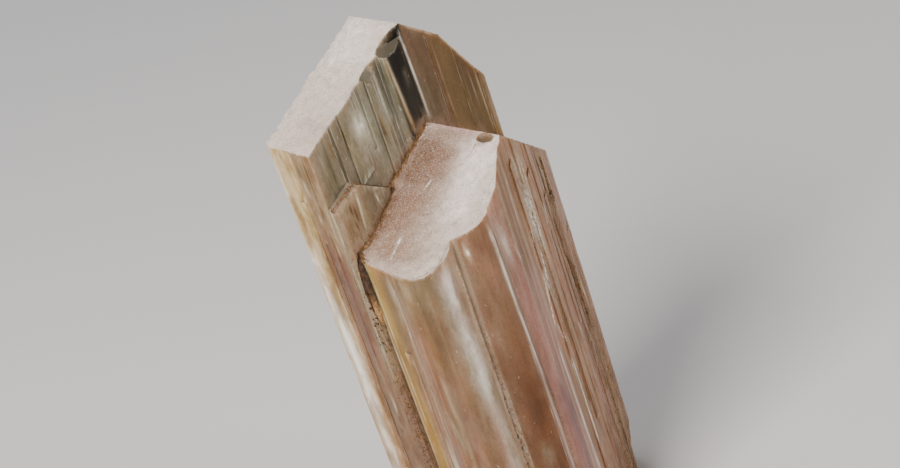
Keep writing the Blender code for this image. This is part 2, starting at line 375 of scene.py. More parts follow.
# Zones of the prism faces: plan ends, colour at the top and at the base, how milky it is at the top and
# at the base, and how thickly it is lined with pale and with dark striae. The blur is in millimetres.
ZONES = (
    (((0.0, 6.0), (0.0, 3.4)), (0.56, 0.39, 0.16), (0.54, 0.28, 0.14), (0.75, 0.60), (0.3, 0.1)),
    (((0.0, 3.0), (0.0, 0.4)), (0.38, 0.25, 0.14), (0.38, 0.20, 0.13), (0.25, 0.12), (0.2, 0.1)),
    (((0.4, -0.2), (5.6, -0.2)), (0.36, 0.335, 0.27), (0.35, 0.325, 0.26), (0.12, 0.12), (0.2, 0.2)),
    (((6.2, -0.2), (12.4, -0.2)), (0.38, 0.36, 0.30), (0.36, 0.335, 0.27), (0.14, 0.14), (0.15, 0.15)),
    # This zone is painted nearly black: painted shade for the dark seen through the clear window.
    (((13.6, -0.1), (15.8, -0.1)), (0.007, 0.006, 0.004), (0.028, 0.024, 0.016), (0.0, 0.0), (0.0, 0.1)),
    (((16.6, 0.1), (18.8, 0.5)), (0.25, 0.18, 0.115), (0.22, 0.15, 0.09), (0.03, 0.03), (0.0, 0.0)),
    (((19.6, 0.7), (26.2, 1.6)), (0.235, 0.145, 0.06), (0.205, 0.115, 0.038), (0.02, 0.02), (0.03, 0.03)),
    (((0.3, -1.4), (3.2, -1.7)), (0.44, 0.34, 0.24), (0.42, 0.31, 0.21), (0.14, 0.12), (0.1, 0.1)),
    (((3.8, -1.6), (7.6, -1.0)), (0.37, 0.32, 0.25), (0.36, 0.31, 0.23), (0.10, 0.10), (0.1, 0.1)),
    (((0.2, -2.6), (0.0, -4.4)), (0.56, 0.37, 0.09), (0.48, 0.23, 0.05), (0.12, 0.08), (0.04, 0.04)),
    (((-0.1, -5.4), (-0.4, -9.0)), (0.37, 0.24, 0.11), (0.43, 0.20, 0.13), (0.10, 0.10), (0.0, 0.0)),
    (((-0.2, -10.2), (1.6, -12.4)), (0.33, 0.24, 0.14), (0.37, 0.21, 0.15), (0.12, 0.12), (0.0, 0.0)),
    (((2.2, -12.7), (4.0, -12.3)), (0.56, 0.44, 0.33), (0.40, 0.25, 0.16), (0.15, 0.08), (0.1, 0.1)),
    (((4.9, -13.2), (7.2, -14.8)), (0.40, 0.26, 0.18), (0.21, 0.072, 0.025), (0.06, 0.05), (0.0, 0.0)),
    (((8.4, -14.4), (11.0, -13.9)), (0.66, 0.46, 0.38), (0.34, 0.14, 0.10), (0.10, 0.04), (0.0, 0.0)),
    (((11.6, -13.5), (14.2, -11.8)), (0.38, 0.20, 0.09), (0.36, 0.16, 0.09), (0.04, 0.04), (0.1, 0.1)),
    (((15.0, -11.2), (19.2, -8.8)), (0.52, 0.27, 0.135), (0.30, 0.12, 0.055), (0.42, 0.32), (0.1, 0.1)),
    (((20.0, -8.3), (22.4, -6.9)), (0.42, 0.20, 0.115), (0.24, 0.09, 0.035), (0.42, 0.34), (0.1, 0.1)),
    (((23.8, -6.0), (26.4, -4.4)), (0.40, 0.22, 0.15), (0.22, 0.09, 0.03), (0.40, 0.34), (0.1, 0.05)),
    (((26.0, -2.4), (26.2, 4.6)), (0.62, 0.49, 0.41), (0.58, 0.42, 0.36), (0.14, 0.14), (0.2, 0.1)),
    (((24.6, 6.8), (15.4, 7.4)), (0.62, 0.51, 0.44), (0.62, 0.46, 0.42), (0.14, 0.14), (0.2, 0.1)),
    (((14.6, 7.5), (1.0, 7.2)), (0.66, 0.60, 0.50), (0.66, 0.53, 0.48), (0.14, 0.14), (0.2, 0.15)),
)
ZONE_BLUR = 0.35

# Paints for the strokes: colour, and how milky it makes the crystal. White also paints glints, and glare
# paints highlights and reflections, as pale milky strokes.
PAINTS = {
    "white": ((0.96, 0.94, 0.90), 0.95),
    "glare": ((0.90, 0.84, 0.78), 0.80),
    "cream": ((0.82, 0.70, 0.50), 0.60),
    "gold": ((0.41, 0.22, 0.013), 0.10),
    "olive": ((0.15, 0.12, 0.035), 0.0),
    "slate": ((0.12, 0.115, 0.085), 0.05),
    "mist": ((0.56, 0.54, 0.42), 0.60),
    "bluish": ((0.76, 0.74, 0.74), 0.55),
    "lilac": ((0.58, 0.32, 0.31), 0.10),
    "purple": ((0.20, 0.088, 0.115), 0.05),
    "mauve": ((0.27, 0.14, 0.095), 0.05),
    "sand": ((0.66, 0.43, 0.27), 0.50),
    "rose": ((0.42, 0.20, 0.13), 0.08),
    "amber": ((0.22, 0.085, 0.030), 0.0),
    "umber": ((0.10, 0.045, 0.014), 0.0),
    "chalk_and_sheen": ((0.95, 0.83, 0.82), 0.0),
    "blush": ((0.25, 0.125, 0.066), 0.0),
    "bark": ((0.15, 0.058, 0.018), 0.0),
}

# Strokes over the zones: paint, top and bottom as plan points with heights, half width and strength.
STROKES = (
    # The back crystal's broad front face.
    ("slate", (12.1, 0.1, 62.0), (12.1, 0.1, 52.0), 0.8, 0.7),
    ("slate", (8.8, 0.1, 61.0), (9.0, 0.1, 52.0), 0.7, 0.5),
    ("mist", (7.3, 0.0, 58.6), (7.8, 0.1, 53.6), 1.2, 1.0),
    ("white", (7.2, 0.0, 57.4), (7.8, 0.1, 54.6), 0.70, 0.95),
    ("mist", (5.4, 0.0, 56.5), (5.9, 0.0, 52.4), 0.8, 0.6),
    ("mist", (11.8, 0.0, 56.0), (11.9, 0.0, 53.0), 0.5, 0.35),
    ("bluish", (6.4, -0.2, 54.6), (6.9, -0.2, 52.6), 0.6, 0.5),
    ("olive", (4.5, 0.0, 58.8), (5.0, 0.1, 53.7), 0.30, 0.3),
    ("gold", (4.9, 0.0, 57.8), (5.3, 0.0, 53.2), 0.15, 0.25),
    ("olive", (3.3, 0.0, 58.0), (3.6, 0.0, 52.0), 0.35, 0.35),
    ("olive", (2.0, 0.0, 57.6), (2.2, 0.0, 51.0), 0.25, 0.5),
    ("cream", (1.3, 0.0, 56.4), (1.5, 0.0, 53.0), 0.14, 0.4),
    ("gold", (2.8, 0.0, 57.6), (3.0, 0.0, 54.6), 0.14, 0.5),
    ("olive", (9.6, 0.0, 60.8), (9.8, -0.1, 52.6), 0.24, 0.5),
    ("gold", (10.0, 0.0, 58.5), (10.2, -0.1, 52.4), 0.13, 0.4),
    ("umber", (9.8, 0.0, 54.6), (9.9, 0.0, 53.6), 0.22, 0.8),
    ("white", (11.0, 0.0, 61.4), (11.0, 0.0, 55.2), 0.12, 0.75),
    ("gold", (11.0, 0.0, 56.0), (11.2, -0.1, 52.0), 0.20, 0.4),
    ("umber", (11.5, 0.0, 54.6), (11.6, 0.0, 53.4), 0.20, 0.6),
    ("cream", (13.0, -0.1, 61.6), (13.7, -0.2, 52.3), 0.19, 0.75),
    ("cream", (12.6, -0.1, 62.2), (12.9, -0.2, 57.5), 0.13, 0.5),
    ("olive", (12.8, -0.1, 60.4), (13.2, -0.2, 55.0), 0.10, 0.8),
    ("gold", (13.3, -0.2, 55.6), (13.8, -0.2, 51.8), 0.26, 0.4),
    ("slate", (13.2, 0.5, 61.6), (14.3, 0.5, 62.4), 0.6, 0.9),
    ("cream", (10.4, 0.0, 61.4), (15.0, 0.0, 63.2), 0.35, 0.4),
    ("slate", (14.6, -0.1, 57.4), (14.8, -0.1, 51.6), 0.9, 0.2),
    ("mist", (14.9, -0.1, 58.6), (14.9, -0.1, 58.1), 0.30, 0.7),
    # A white line down the edge beside the window: a painted highlight where the edge catches light.
    ("white", (15.9, 0.0, 62.4), (16.2, 0.0, 52.0), 0.15, 0.85),
    # The smooth face beside it.
    ("rose", (17.0, 0.2, 62.4), (18.6, 0.5, 55.6), 1.2, 0.2),
    ("cream", (20.0, 0.7, 59.2), (20.1, 0.7, 50.0), 0.12, 0.22),
    ("umber", (19.7, 0.7, 52.0), (19.8, 0.7, 50.4), 0.14, 0.7),
    ("umber", (21.6, 0.9, 51.6), (21.7, 0.9, 48.8), 0.12, 0.4),
    ("umber", (23.1, 1.2, 52.8), (23.2, 1.2, 48.0), 0.12, 0.3),
    ("cream", (25.2, 1.5, 53.2), (25.4, 1.5, 45.0), 0.12, 0.45),
    ("cream", (24.2, 1.4, 53.6), (24.3, 1.4, 49.6), 0.10, 0.35),
    ("gold", (21.6, 0.9, 47.6), (23.9, 1.3, 46.0), 0.40, 0.9),
    ("gold", (25.5, 1.5, 45.4), (26.2, 1.6, 44.6), 0.45, 0.9),
    # The plate.
    ("umber", (1.7, -1.4, 50.6), (1.7, -1.4, 49.2), 0.14, 0.95),
    ("umber", (2.1, -1.5, 50.4), (2.1, -1.5, 48.0), 0.14, 0.9),
    ("umber", (1.7, -1.4, 48.6), (1.8, -1.4, 47.3), 0.12, 0.8),
    ("amber", (2.5, -1.5, 50.8), (2.4, -1.5, 47.0), 0.22, 0.6),
    ("white", (2.9, -1.5, 51.6), (2.6, -1.5, 47.0), 0.11, 0.8),
    ("white", (5.3, -1.4, 49.7), (5.5, -1.4, 48.3), 0.12, 0.8),
    ("cream", (5.6, -1.3, 48.4), (5.7, -1.3, 46.8), 0.10, 0.5),
    ("umber", (0.4, -1.3, 49.2), (0.4, -1.3, 48.9), 0.20, 0.7),
    # The back crystal's left face.
    # The white and glare strokes down this face are painted highlights: the reflection on its glossy surface.
    ("white", (0.0, 6.2, 55.0), (0.0, 6.2, 43.0), 0.30, 0.45),
    ("glare", (0.0, 6.0, 45.0), (0.0, 5.6, 36.0), 0.70, 0.85),
    ("glare", (0.0, 5.4, 37.5), (0.0, 5.2, 24.0), 1.20, 1.0),
    ("white", (0.0, 5.4, 36.0), (0.0, 5.0, 29.0), 0.45, 0.9),
    ("glare", (0.0, 5.3, 25.0), (0.0, 5.1, 12.0), 0.90, 0.8),
    ("olive", (0.0, 4.4, 54.2), (0.0, 4.2, 52.0), 0.30, 0.5),
    ("olive", (0.0, 5.2, 50.0), (0.0, 4.8, 45.0), 0.45, 0.35),
    ("slate", (0.0, 2.7, 55.6), (0.0, 2.6, 54.0), 0.16, 0.8),
    ("gold", (0.0, 2.0, 56.6), (0.0, 1.6, 52.0), 0.35, 0.35),
    ("white", (0.0, 2.6, 53.8), (0.0, 2.4, 51.8), 0.16, 0.7),
    ("white", (0.0, 2.0, 49.8), (0.0, 2.0, 48.4), 0.13, 0.7),
    ("white", (0.0, 1.0, 46.4), (0.0, 0.9, 44.6), 0.12, 0.8),
    ("cream", (0.0, 0.4, 52.0), (0.0, 0.4, 46.0), 0.16, 0.5),
    ("mauve", (0.0, 2.8, 47.6), (0.0, 2.6, 38.0), 0.8, 0.7),
    ("mauve", (0.0, 1.8, 46.0), (0.0, 1.7, 31.0), 0.9, 0.8),
    ("purple", (0.0, 1.2, 44.0), (0.0, 1.3, 31.0), 0.45, 0.5),
    ("cream", (0.0, 3.6, 40.0), (0.0, 3.4, 28.0), 0.30, 0.2),
    ("mauve", (0.0, 2.4, 33.0), (0.0, 2.0, 12.0), 1.0, 0.3),
    ("mauve", (0.0, 0.8, 45.0), (0.0, 0.8, 18.0), 0.55, 0.45),
    ("white", (0.0, 1.2, 26.6), (0.0, 1.3, 23.4), 0.11, 0.7),
    ("bark", (0.1, -0.8, 30.0), (0.1, -0.8, 2.0), 0.60, 1.0),
    ("bark", (0.0, -0.2, 27.0), (0.0, -0.2, 12.0), 0.35, 0.5),
    # The front crystal's left side.
    ("gold", (0.3, -2.1, 44.6), (0.1, -3.2, 24.0), 0.45, 1.0),
    ("gold", (0.1, -3.2, 26.0), (0.1, -3.4, 2.0), 0.50, 1.0),
    ("white", (0.4, -2.0, 44.6), (0.3, -2.2, 30.0), 0.13, 0.95),
    ("cream", (0.3, -2.2, 31.0), (0.3, -2.2, 8.0), 0.14, 0.95),
    ("cream", (0.2, -2.8, 42.0), (0.2, -3.1, 24.0), 0.11, 0.8),
    ("olive", (-0.1, -4.6, 44.6), (0.0, -4.5, 34.0), 0.8, 0.6),
    ("umber", (-0.1, -5.0, 36.4), (-0.2, -6.0, 34.8), 0.35, 0.6),
    ("mist", (-0.2, -6.0, 43.6), (-0.2, -6.2, 38.0), 0.45, 0.5),
    ("white", (-0.2, -5.9, 42.6), (-0.2, -6.1, 41.4), 0.20, 0.8),
    ("white", (-0.2, -6.3, 37.0), (-0.2, -6.4, 36.2), 0.13, 0.9),
    ("rose", (-0.4, -7.6, 38.0), (-0.4, -8.2, 6.0), 1.2, 0.6),
    ("mist", (-0.3, -8.6, 44.4), (-0.3, -8.8, 41.0), 0.6, 0.4),
    ("olive", (-0.3, -9.6, 45.0), (-0.2, -9.9, 40.0), 0.5, 0.5),
    ("mist", (-0.4, -7.8, 27.4), (-0.3, -9.0, 22.6), 0.35, 0.8),
    ("white", (-0.2, -5.8, 21.4), (-0.1, -6.3, 17.0), 0.40, 0.8),
    ("cream", (-0.3, -9.1, 33.0), (-0.2, -9.6, 16.0), 0.25, 0.35),
    ("amber", (-0.2, -10.1, 40.0), (0.0, -10.7, 31.0), 0.40, 0.35),
    ("gold", (-0.2, -9.6, 37.4), (-0.1, -9.8, 33.0), 0.25, 0.5),
    ("rose", (0.0, -10.8, 31.0), (0.2, -11.5, 8.0), 0.55, 0.5),
    ("olive", (0.6, -11.8, 45.6), (0.8, -11.9, 39.0), 0.7, 0.4),
    ("bluish", (1.9, -12.5, 45.0), (2.4, -12.7, 28.0), 0.85, 0.85),
    ("bluish", (2.4, -12.7, 28.0), (2.9, -12.7, 12.0), 0.7, 0.4),
    ("white", (2.1, -12.6, 36.6), (2.2, -12.7, 35.4), 0.24, 0.7),
    ("umber", (3.0, -12.7, 44.0), (3.7, -12.5, 14.0), 0.08, 0.25),
    # Sand down the crease: its tan line laid pale and matte, partly painted light over the crease's shade.
    ("sand", (3.8, -12.4, 45.0), (4.3, -12.1, 8.0), 0.50, 1.0),
    # The swell beside the crease.
    # Cream and white at the top of the swell: a painted glint.
    ("cream", (4.9, -13.1, 45.6), (4.9, -13.2, 44.2), 0.20, 1.0),
    ("white", (5.0, -13.2, 45.4), (5.1, -13.3, 44.3), 0.16, 1.0),
    ("rose", (5.8, -14.0, 46.6), (6.2, -14.2, 40.0), 0.7, 0.4),
    ("amber", (6.3, -14.5, 37.0), (6.3, -14.5, 29.0), 0.9, 0.6),
    ("amber", (6.3, -14.4, 30.0), (6.2, -14.4, 20.0), 1.0, 0.85),
    ("umber", (6.3, -14.5, 27.0), (6.2, -14.4, 23.0), 0.5, 0.35),
    ("mist", (5.2, -13.5, 35.2), (5.2, -13.5, 34.5), 0.35, 0.35),
    ("mist", (5.7, -14.0, 20.5), (5.8, -14.1, 18.5), 0.5, 0.5),
    ("white", (7.3, -14.8, 46.6), (8.3, -14.5, 27.0), 0.17, 0.8),
    ("bluish", (8.2, -14.5, 27.0), (8.5, -14.4, 4.0), 0.16, 0.7),
    ("umber", (7.9, -14.6, 46.0), (8.8, -14.4, 20.0), 0.13, 0.80),
    # The lilac band and the face beside it.
    ("bluish", (8.9, -14.3, 46.4), (9.3, -14.2, 38.0), 0.45, 0.75),
    ("lilac", (9.6, -14.2, 42.0), (10.4, -13.9, 12.0), 1.1, 0.85),
    ("lilac", (12.9, -12.5, 38.0), (13.0, -12.4, 8.0), 1.6, 0.9),
    ("purple", (10.6, -13.8, 26.0), (11.6, -13.3, 12.0), 1.2, 0.8),
    ("white", (10.2, -14.0, 42.6), (11.2, -13.5, 39.8), 0.14, 0.85),
    ("umber", (10.1, -14.1, 46.6), (10.5, -13.9, 44.2), 0.26, 0.6),
    ("umber", (10.9, -13.7, 40.2), (10.9, -13.7, 39.7), 0.22, 0.8),
    ("white", (13.5, -11.9, 27.0), (14.2, -11.5, 9.0), 0.15, 1.0),
    # The ribbed face.
    ("amber", (14.6, -11.4, 50.0), (15.4, -11.1, 44.0), 0.7, 0.4),
    ("cream", (16.4, -10.5, 49.6), (17.6, -9.9, 45.0), 0.16, 0.7),
    ("glare", (17.3, -9.9, 45.0), (16.6, -10.3, 38.4), 0.34, 0.7),
    ("glare", (15.3, -11.0, 35.6), (14.9, -11.3, 32.0), 0.26, 0.6),
    ("cream", (17.6, -9.8, 48.8), (18.4, -9.4, 45.0), 0.12, 0.6),
    ("white", (15.4, -11.1, 24.4), (15.6, -11.1, 12.0), 0.14, 1.0),
    ("umber", (14.3, -11.5, 26.0), (14.8, -11.3, 10.0), 0.20, 0.5),
    ("rose", (19.4, -8.8, 40.0), (20.2, -8.3, 16.0), 0.7, 0.7),
    ("rose", (21.8, -7.4, 46.0), (21.4, -7.6, 36.0), 0.6, 0.6),
    ("lilac", (20.6, -8.0, 27.0), (20.8, -7.9, 12.0), 0.6, 0.6),
    ("lilac", (25.2, -5.1, 44.0), (25.6, -4.9, 32.0), 0.7, 0.7),
    ("rose", (25.6, -4.9, 33.0), (26.0, -4.7, 14.0), 0.8, 0.7),
    ("gold", (24.2, -5.8, 45.0), (24.1, -5.8, 37.0), 0.55, 0.8),
    ("gold", (22.6, -6.8, 38.6), (22.8, -6.7, 31.0), 0.45, 0.8),
    ("amber", (23.8, -6.1, 31.0), (24.6, -5.6, 12.0), 0.55, 0.6),
    ("cream", (24.4, -5.7, 37.0), (25.0, -5.3, 24.0), 0.12, 0.8),
    # Umber down the two slots: the clay in them, darkened further as painted shade deep in the slots.
    ("umber", (24.1, -5.8, 43.6), (24.0, -5.9, 37.6), 0.34, 1.0),
    ("umber", (22.5, -6.9, 37.4), (22.6, -6.9, 31.4), 0.26, 1.0),
    ("umber", (23.3, -6.2, 32.2), (23.5, -6.1, 26.0), 0.18, 0.8),
    # A painted glint in the upper slot.
    ("white", (23.8, -5.9, 41.2), (23.9, -5.9, 40.4), 0.22, 0.95),
    # The back.
    ("bluish", (9.0, 7.3, 58.0), (8.6, 7.3, 20.0), 1.2, 0.6),
    ("glare", (3.0, 7.2, 50.0), (3.2, 7.2, 14.0), 0.5, 0.6),
    ("lilac", (18.0, 7.4, 52.0), (18.4, 7.4, 10.0), 1.6, 0.7),
    ("cream", (13.0, 7.5, 61.0), (13.1, 7.5, 30.0), 0.15, 0.8),
    ("white", (21.0, 7.1, 52.0), (21.0, 7.1, 24.0), 0.14, 0.8),
    ("mist", (6.0, 7.3, 44.0), (6.2, 7.3, 8.0), 0.9, 0.5),
    ("rose", (23.0, 6.9, 44.0), (23.0, 6.9, 6.0), 1.0, 0.5),
    # The roof's rims.
    ("sand", (16.6, 0.1, 63.1), (21.2, 0.9, 59.3), 0.14, 0.8),
    ("sand", (21.4, 0.9, 59.2), (26.2, 1.6, 51.9), 0.14, 0.8),
    ("rose", (15.8, -0.2, 52.0), (26.0, 1.2, 43.5), 0.5, 0.5),
)

# The same for the frosted end faces, over a plain frost.
FROST = (0.59, 0.49, 0.42)
END_STROKES = (
    ("blush", (0.5, 1.0, 57.2), (5.0, 2.0, 59.1), 3.0, 0.25),
    ("blush", (0.5, -5.6, 44.8), (14.0, -4.6, 51.4), 3.8, 0.62),
    # The chalk strokes pale the frost, and on the front end face's lower right they are partly a painted
    # sheen.
    ("chalk_and_sheen", (10.0, 3.5, 61.2), (16.0, 5.0, 63.8), 3.4, 0.6),
    ("chalk_and_sheen", (11.5, -11.5, 50.1), (14.6, -7.5, 51.6), 2.4, 1.0),
    ("chalk_and_sheen", (6.0, -11.5, 47.4), (12.0, -9.5, 50.4), 2.0, 0.8),
    ("blush", (0.6, -4.2, 44.8), (4.0, -4.4, 46.4), 1.6, 0.8),
    ("blush", (0.8, -7.6, 44.8), (3.4, -9.0, 46.0), 1.6, 0.45),
    ("blush", (0.4, -5.8, 44.6), (3.0, -6.4, 46.0), 1.3, 0.5),
    ("blush", (3.0, -3.6, 45.9), (9.0, -4.2, 48.9), 2.4, 0.95),
    ("blush", (9.0, -4.4, 48.9), (14.0, -4.8, 51.3), 2.6, 0.8),
    ("bark", (3.0, -2.2, 45.9), (8.2, -2.4, 48.5), 1.1, 0.7),
    ("bark", (8.2, -2.4, 48.5), (14.8, -2.2, 51.7), 2.7, 0.9),
    ("bark", (14.2, -8.2, 51.4), (14.9, -9.8, 51.5), 0.8, 0.6),
    ("blush", (14.6, -1.2, 51.6), (15.3, -8.0, 52.0), 0.7, 0.6),
    ("bark", (1.8, -2.3, 45.4), (8.4, -1.9, 48.6), 0.55, 0.5),
    ("lilac", (15.5, -0.6, 52.0), (15.4, -8.0, 52.0), 0.3, 0.7),
)

# Beaded striae painted white as glints, peppered dirt, rusty patches, cracks and scratches: ends as above,
# half width and strength.
BEADED_GLINTS = (
    ((17.6, -9.8, 48.4), (17.2, -10.0, 42.3), 0.12, 0.80),
    ((17.2, -10.0, 43.0), (16.5, -10.3, 38.5), 0.26, 1.00),
    ((16.5, -10.3, 39.0), (15.2, -11.0, 33.4), 0.16, 0.95),
    ((15.0, -11.2, 34.2), (14.4, -11.6, 29.0), 0.15, 0.95),
    ((18.7, -9.1, 47.4), (18.6, -9.2, 38.0), 0.11, 0.75),
    ((18.0, -9.5, 44.0), (17.4, -9.9, 35.0), 0.10, 0.70),
    ((16.6, -10.3, 46.0), (15.9, -10.6, 40.0), 0.10, 0.65),
    ((15.6, -10.9, 42.0), (14.8, -11.3, 36.0), 0.10, 0.60),
    ((14.1, -11.7, 48.4), (13.6, -12.0, 42.0), 0.11, 0.60),
    ((20.9, -7.8, 40.6), (20.7, -8.0, 33.0), 0.10, 0.60),
    ((17.3, -9.9, 44.4), (17.2, -10.0, 37.4), 0.65, 0.80),
    ((15.3, -11.0, 35.4), (15.0, -11.2, 32.4), 0.35, 0.90),
    ((14.6, -11.4, 29.4), (15.5, -10.9, 26.2), 0.16, 0.90),
    ((17.0, -10.3, 49.0), (16.6, -10.5, 30.0), 1.60, 0.22),
    ((3.9, -12.4, 44.0), (4.3, -12.1, 18.0), 0.32, 0.45),
)
PEPPERED = (
    ((0.4, -1.2, 46.6), (0.3, -1.1, 42.4), 0.55, 0.9),
    ((0.2, -0.9, 37.6), (0.2, -0.9, 30.0), 0.45, 0.55),
    ((0.2, -1.0, 31.0), (0.1, -0.9, 24.0), 0.45, 0.85),
    ((0.1, -0.9, 25.0), (0.1, -0.8, 0.0), 0.55, 0.95),
    ((3.8, -12.4, 44.0), (4.3, -12.1, 32.0), 0.32, 0.75),
    ((4.3, -12.1, 33.0), (4.3, -12.1, 10.0), 0.38, 0.85),
    ((8.7, -14.4, 26.0), (9.0, -14.3, 12.0), 0.16, 0.6),
    ((24.1, -5.8, 44.4), (24.0, -5.9, 37.6), 0.45, 1.0),
    ((22.5, -6.9, 37.6), (22.7, -6.8, 31.0), 0.36, 1.0),
    ((23.4, -6.2, 31.0), (23.9, -6.1, 22.0), 0.55, 1.0),
    ((23.9, -6.1, 22.0), (25.0, -5.3, 14.0), 0.60, 1.0),
    ((24.6, -5.6, 14.0), (22.0, -7.2, 3.0), 1.30, 0.9),
    ((14.6, -11.6, 49.5), (15.6, -11.0, 45.0), 0.7, 0.5),
    ((5.0, -1.5, 47.6), (2.4, -1.7, 45.9), 0.5, 0.7),
    ((1.4, -2.0, 45.3), (8.4, -1.7, 48.7), 0.38, 0.9),
    ((8.4, -1.7, 48.7), (15.2, -1.0, 52.0), 0.32, 0.9),
    ((10.4, -13.9, 48.4), (11.0, -13.6, 44.0), 0.5, 0.9),
)
RUSTY = (
    ((0.0, -0.5, 39.2), (0.2, -0.9, 36.9), 0.40, 1.0),
    ((10.0, -14.1, 47.4), (10.3, -14.0, 45.0), 0.40, 0.5),
    ((0.9, -1.3, 46.0), (1.2, -1.5, 45.8), 0.35, 0.9),
    ((-0.1, 0.0, 45.9), (0.1, -0.3, 45.3), 0.22, 0.9),
    ((3.4, -2.2, 46.4), (8.2, -1.6, 48.8), 0.55, 0.45),
    ((8.4, -1.4, 48.9), (13.5, -1.4, 51.2), 0.9, 0.5),
    ((11.0, -2.4, 49.9), (12.2, -3.2, 50.4), 0.35, 0.5),
    ((14.9, -8.0, 51.9), (14.9, -10.2, 51.9), 0.40, 0.7),
    ((0.1, -0.9, 28.0), (0.1, -0.9, 4.0), 0.60, 0.95),
    ((23.6, -6.2, 31.0), (25.0, -5.3, 12.0), 0.45, 0.5),
)
CRACKS = (
    ((14.8, -8.3, 51.5), (13.5, -8.5, 51.1), 0.10, 0.9),
    ((13.5, -8.5, 51.1), (12.4, -8.2, 50.6), 0.09, 0.7),
    ((5.9, -6.3, 47.4), (6.5, -7.5, 47.7), 0.10, 0.8),
    ((11.2, -2.6, 50.0), (12.8, -2.2, 50.8), 0.12, 0.8),
    ((12.0, -11.6, 50.4), (12.3, -12.2, 50.5), 0.09, 0.5),
    ((9.0, -3.0, 48.9), (9.4, -2.6, 49.1), 0.16, 0.8),
    ((5.9, -11.5, 47.4), (6.1, -11.9, 47.5), 0.12, 0.6),
)
SCRATCHED = (
    ((15.0, 5.6, 63.3), (15.8, 5.5, 63.7), 0.10, 0.9),
    ((9.7, 5.5, 61.2), (11.2, 5.4, 61.8), 0.10, 0.9),
    ((8.6, -5.0, 48.7), (9.8, -5.2, 49.3), 0.10, 0.9),
    ((3.7, -5.5, 46.3), (2.5, -5.6, 45.7), 0.16, 0.8),
    ((2.5, -5.6, 45.7), (0.9, -5.9, 44.9), 0.12, 0.6),
    ((5.0, 4.0, 59.2), (5.9, 3.9, 59.6), 0.08, 0.6),
    ((3.0, -3.4, 46.0), (3.9, -3.9, 46.4), 0.08, 0.6),
)

# Stained seams, with how far the stain reaches and its strength.
STAINED = (
    (CONTACT, 0.90, 1.0),
    (ROOF_CONTACT, 0.35, 0.5),
    (LEFT_SEAM[:2], 0.55, 1.0),
    (RIGHT_GROOVE, 0.30, 0.7),
    (RIM, 0.13, 0.7),
    (LEDGE, 0.35, 0.8),
    (LEDGE[:2], 0.60, 1.0),
)


def plan_places(mesh):
    """Each vertex as a plan point with its height, in millimetres."""
    places = np.empty(len(mesh.vertices) * 3)
    mesh.vertices.foreach_get("co", places)
    return (places.reshape(-1, 3) - np.array(CORNER)) / MM


def zone_colours(places):
    """Body colour, milkiness and lining at each vertex, and the way out of the nearest zone's face."""
    rise = np.clip(places[:, 2:3] / SHOULDER_HEIGHT, 0.0, 1.0)
    total = np.zeros((len(places), 6))
    weights = np.full((len(places), 1), 1e-9)
    nearest = np.full(len(places), np.inf)
    outward = np.zeros((len(places), 3))
    for (start, end), top, base, milky, lined in ZONES:
        a, b = np.array(start), np.array(end)
        run = b - a
        share = np.clip(((places[:, :2] - a) @ run) / (run @ run), 0.0, 1.0)[:, None]
        distance = np.linalg.norm(places[:, :2] - (a + share * run), axis=1)
        weight = 1.0 / (distance[:, None] ** 2 + ZONE_BLUR**2) ** 3
        low, high = np.array((*base, milky[1], *lined)), np.array((*top, milky[0], *lined))
        total += weight * (low + (high - low) * rise)
        weights += weight
        closer = distance < nearest
        nearest[closer] = distance[closer]
        outward[closer] = np.array((run[1], -run[0], 0.0)) / np.linalg.norm(run)
    return total / weights, outward


def stroke_share(places, outward, start, end, half_width, strength):
    """How strongly a stroke covers each vertex. Small steps in and out of the face don't interrupt it."""
    a, b = np.array(start), np.array(end)
    run = b - a
    length = np.linalg.norm(run)
    share = np.clip(((places - a) @ run) / length**2, 0.0, 1.0)
    away = places - (a + share[:, None] * run)
    depth = (away * outward).sum(axis=1)
    near_face = np.abs(depth) < FACE_REACH
    away[near_face] -= depth[near_face, None] * outward[near_face]
    fade = min(STROKE_FADE, length / 3.0)
    ends = np.clip(np.minimum(share, 1.0 - share) * length / fade, 0.0, 1.0)
    ends = END_STRENGTH + (1.0 - END_STRENGTH) * ends
    return strength * ends * np.exp(-(away**2).sum(axis=1) / half_width**2)


def brushed(places, outward, colours, strokes):
    """Colours and milkiness with strokes laid over them."""
    for paint, start, end, half_width, strength in strokes:
        share = stroke_share(places, outward, start, end, half_width, strength)[:, None]
        colour, milk_and_glare = PAINTS[paint]
        colours = colours + share * (np.array((*colour, milk_and_glare)) - colours)
    return colours


def strongest_stroke(places, outward, rows):
    """How strongly the strongest of several strokes covers each vertex."""
    mask = np.zeros(len(places))
    for start, end, half_width, strength in rows:
        mask = np.maximum(mask, stroke_share(places, outward, start, end, half_width, strength))
    return mask


def face_corners(mesh):
    """The vertex at each corner of a face, and whether that face is an end face."""
    corner = np.empty(len(mesh.loops), np.int32)
    mesh.loops.foreach_get("vertex_index", corner)
    frost = np.empty(len(mesh.polygons), np.float32)
    mesh.attributes["frost"].data.foreach_get("value", frost)
    sizes = np.empty(len(mesh.polygons), np.int32)
    mesh.polygons.foreach_get("loop_total", sizes)
    return corner, np.repeat(frost > 0.5, sizes)


